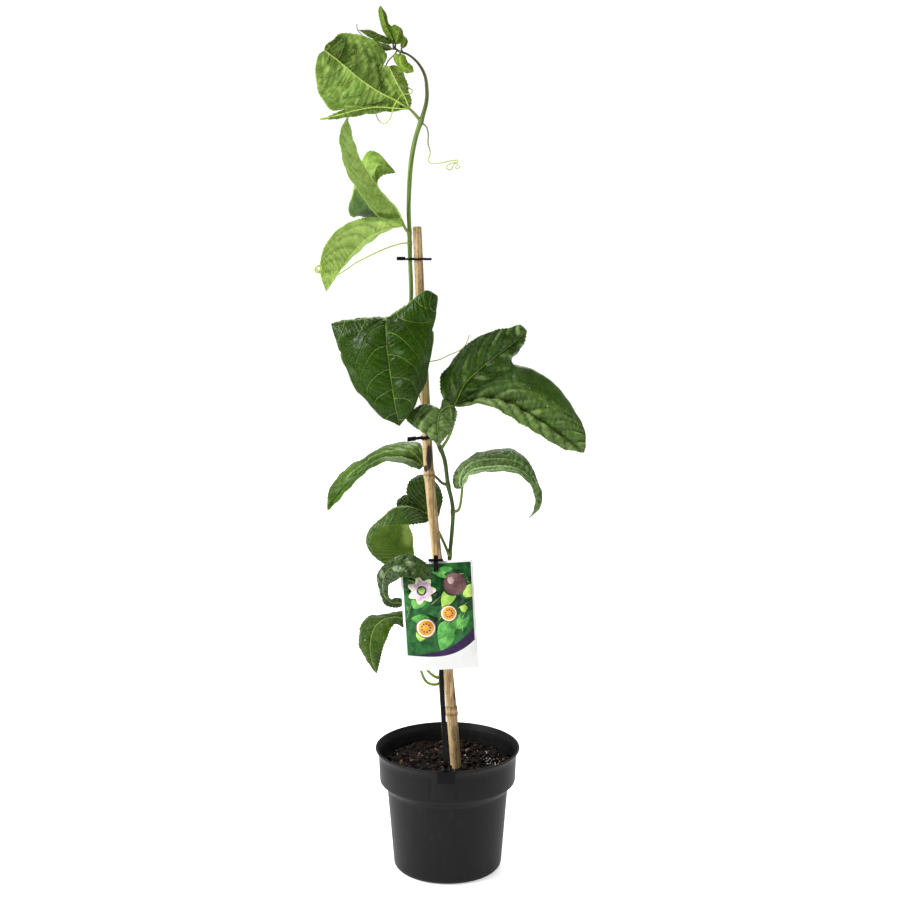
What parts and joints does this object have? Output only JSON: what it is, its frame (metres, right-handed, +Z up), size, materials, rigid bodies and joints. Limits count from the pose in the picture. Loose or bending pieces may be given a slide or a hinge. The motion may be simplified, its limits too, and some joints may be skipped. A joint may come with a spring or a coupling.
{
  "type": "potted passion flower vine",
  "caption": "Young climbing vine tied to a bamboo cane in a round nursery pot, with a picture label on a stake over the rim.",
  "frame": {"origin": "middle of the pot's flat base, on the surface that it stands on", "axes": "+Z up along the pot; the label faces -Y and the vine's bent tip leans to -X"},
  "size_m": [0.2483, 0.1487, 0.8271],
  "materials": {
    "pot": "satin charcoal moulded plastic",
    "soil": "rough dark potting mix with bark chips",
    "cane": "dry bamboo, straw with brown mottling",
    "stem": "smooth green stem tissue",
    "leaf": "glossy green leaf, paler below",
    "young_leaf": "soft yellow-green young leaf",
    "tendril": "smooth yellow-green",
    "card": "printed white card",
    "black_plastic": "satin black plastic"
  },
  "bodies": {
    "root": {"pot": "pot", "soil": "soil", "cane": "cane", "vine_stem": "stem", "label_card": "card", "label_stake": "black_plastic", "tie_upper": "black_plastic", "tie_lower": "black_plastic", "leaf_top": "leaf", "leaf_upper": "leaf", "leaf_front": "leaf", "leaf_right": "leaf", "leaf_left": "leaf", "leaf_inner": "leaf", "leaf_curled": "leaf", "leaf_low": "leaf", "leaf_arch": "leaf", "young_leaf_tall": "young_leaf", "young_leaf_narrow": "young_leaf", "young_leaf_under": "young_leaf", "young_leaf_hanging": "young_leaf", "stipule_leaf": "young_leaf", "tendril_tip": "tendril", "tendril_left": "tendril", "tendril_right": "tendril", "tendril_mid": "tendril"}
  },
  "joints": []
}
